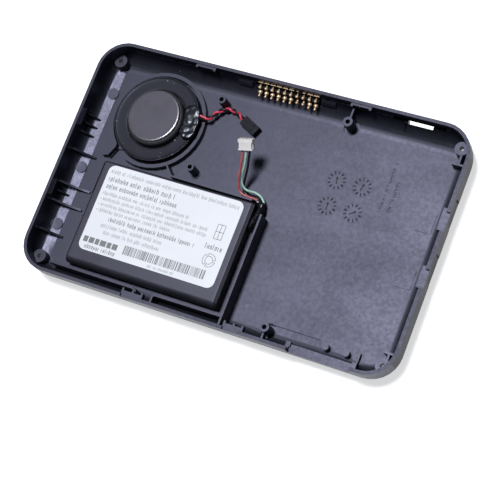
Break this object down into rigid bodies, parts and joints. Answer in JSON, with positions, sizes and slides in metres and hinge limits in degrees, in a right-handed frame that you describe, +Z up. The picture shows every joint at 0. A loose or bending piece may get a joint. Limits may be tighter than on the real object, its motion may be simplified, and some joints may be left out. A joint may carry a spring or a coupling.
{
  "type": "opened navigator rear housing",
  "caption": "Open rear housing tray of a handheld in-car navigator, with a round loudspeaker, a flat battery pack, plug-in leads and a row of dock contacts.",
  "frame": {"origin": "centre of the underside, on the surface the housing lies on", "axes": "+X along the long side, +Y towards the wall with the dock contacts, +Z up out of the open side"},
  "size_m": [0.137, 0.0854, 0.0167],
  "materials": {
    "housing": "moulded charcoal, satin inside",
    "speaker_frame": "moulded dark grey",
    "yoke": "zinc plated, fine matt",
    "magnet": "nickel plated, dull",
    "pole_plate": "plated",
    "coil_copper": "enamelled copper wire",
    "cone": "thin film, matt",
    "grille_cloth": "fine woven dust cloth",
    "foam": "closed-cell foam",
    "circuit_board": "solder mask on glass epoxy",
    "glue": "glossy dark adhesive",
    "wire_red": "soft insulation",
    "wire_black": "soft insulation",
    "wire_green": "soft insulation, pale green",
    "black_plug": "moulded nylon",
    "contact_block": "moulded insulator",
    "white_connector": "moulded nylon",
    "tinned": "tin plated",
    "gold": "gold plated",
    "battery_sleeve": "shrink sleeve, satin",
    "battery_end": "taped end, satin",
    "label": "printed film label",
    "adhesive": "double-sided foam tape"
  },
  "bodies": {
    "housing": {"rear_cover": "housing", "speaker_grille_cloth": "grille_cloth", "speaker_gasket": "foam", "speaker_frame": "speaker_frame", "speaker_yoke": "yoke", "speaker_magnet": "magnet", "speaker_top_plate": "pole_plate", "speaker_terminal_board": "circuit_board", "speaker_glue": "glue", "speaker_wire_red": "wire_red", "speaker_wire_black": "wire_black", "speaker_plug": "black_plug", "speaker_plug_contact_1": "tinned", "speaker_plug_contact_2": "tinned", "dock_contact_block": "contact_block", "dock_contact_upper_1": "gold", "dock_contact_upper_2": "gold", "dock_contact_upper_3": "gold", "dock_contact_upper_4": "gold", "dock_contact_upper_5": "gold", "dock_contact_upper_6": "gold", "dock_contact_upper_7": "gold", "dock_contact_upper_8": "gold", "dock_contact_upper_9": "gold", "dock_contact_upper_10": "gold", "dock_contact_lower_1": "gold", "dock_contact_lower_2": "gold", "dock_contact_lower_3": "gold", "dock_contact_lower_4": "gold", "dock_contact_lower_5": "gold", "dock_contact_lower_6": "gold", "dock_contact_lower_7": "gold", "dock_contact_lower_8": "gold", "dock_contact_lower_9": "gold", "dock_contact_lower_10": "gold"},
    "speaker_cone": {"speaker_diaphragm": "cone", "speaker_voice_coil": "coil_copper"},
    "battery_pack": {"battery_cell": "battery_sleeve", "battery_end_frame": "battery_end", "battery_protection_board": "circuit_board", "battery_label": "label", "battery_adhesive_pad": "adhesive", "battery_wire_red": "wire_red", "battery_wire_black": "wire_black", "battery_wire_green": "wire_green", "battery_connector": "white_connector", "battery_connector_contact_1": "tinned", "battery_connector_contact_2": "tinned", "battery_connector_contact_3": "tinned"}
  },
  "joints": [
    {"name": "cone_travel", "type": "slide", "parent": "housing", "child": "speaker_cone", "axis": [0, 0, 1], "range_m": [-0.0004, 0.0004], "stiffness_N_per_m": 600},
    {"name": "battery_lift", "type": "slide", "parent": "housing", "child": "battery_pack", "axis": [0, 0, 1], "range_m": [0, 0.016]}
  ]
}
